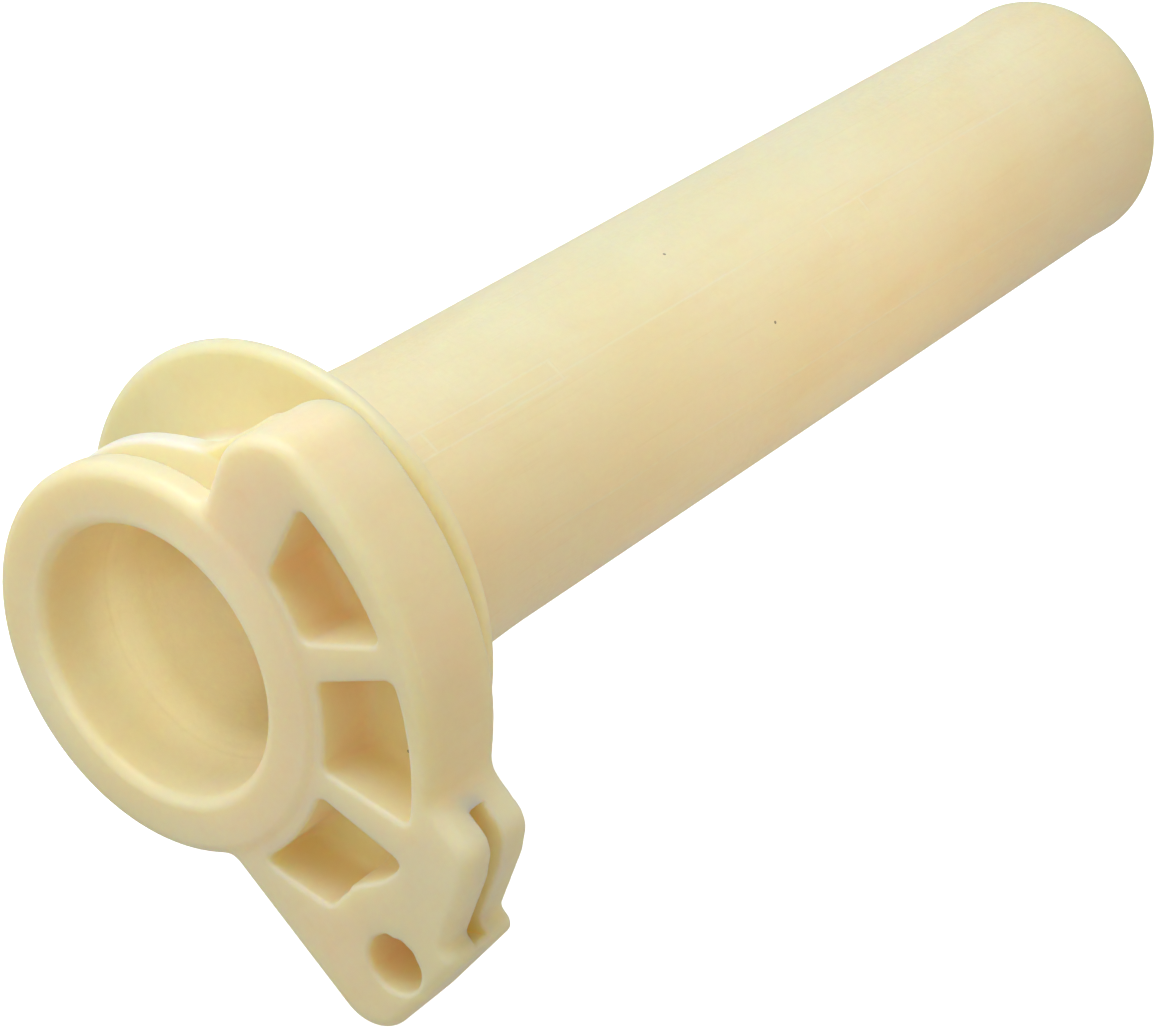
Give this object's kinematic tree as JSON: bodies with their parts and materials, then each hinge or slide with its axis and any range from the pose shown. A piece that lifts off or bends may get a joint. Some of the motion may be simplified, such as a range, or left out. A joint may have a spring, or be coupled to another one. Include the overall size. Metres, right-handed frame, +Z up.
{
  "type": "throttle tube",
  "caption": "One-piece moulded nylon throttle tube for a 22.2 mm handlebar: grip sleeve, housing flange, cable drum with cam rim, ribs, pockets and a slotted cable lug",
  "frame": {"origin": "on the bore's axis, at the open face of the cable drum", "axes": "+X runs along the tube from the drum to the handlebar's end, +Z is up with the throttle closed, +Y completes the right-handed set"},
  "size_m": [0.1535, 0.0549, 0.0513],
  "materials": {
    "natural_nylon": "natural cream nylon as moulded, satin, slightly translucent, with fine texture and faint mould lines"
  },
  "bodies": {
    "root": {"tube_neck": "natural_nylon", "rear_flange": "natural_nylon", "root_collar": "natural_nylon", "sleeve_inner": "natural_nylon", "sleeve_middle": "natural_nylon", "sleeve_outer": "natural_nylon", "tube_end_rim": "natural_nylon", "front_ring": "natural_nylon", "drum_hub": "natural_nylon", "rear_ring": "natural_nylon", "cam_rim": "natural_nylon", "cam_nose": "natural_nylon", "nose_gusset": "natural_nylon", "pocket_web": "natural_nylon", "upper_rib": "natural_nylon", "lower_rib": "natural_nylon", "lug_front_plate": "natural_nylon", "lug_core": "natural_nylon", "lug_rear_plate": "natural_nylon", "lug_side_wall": "natural_nylon"}
  },
  "joints": []
}
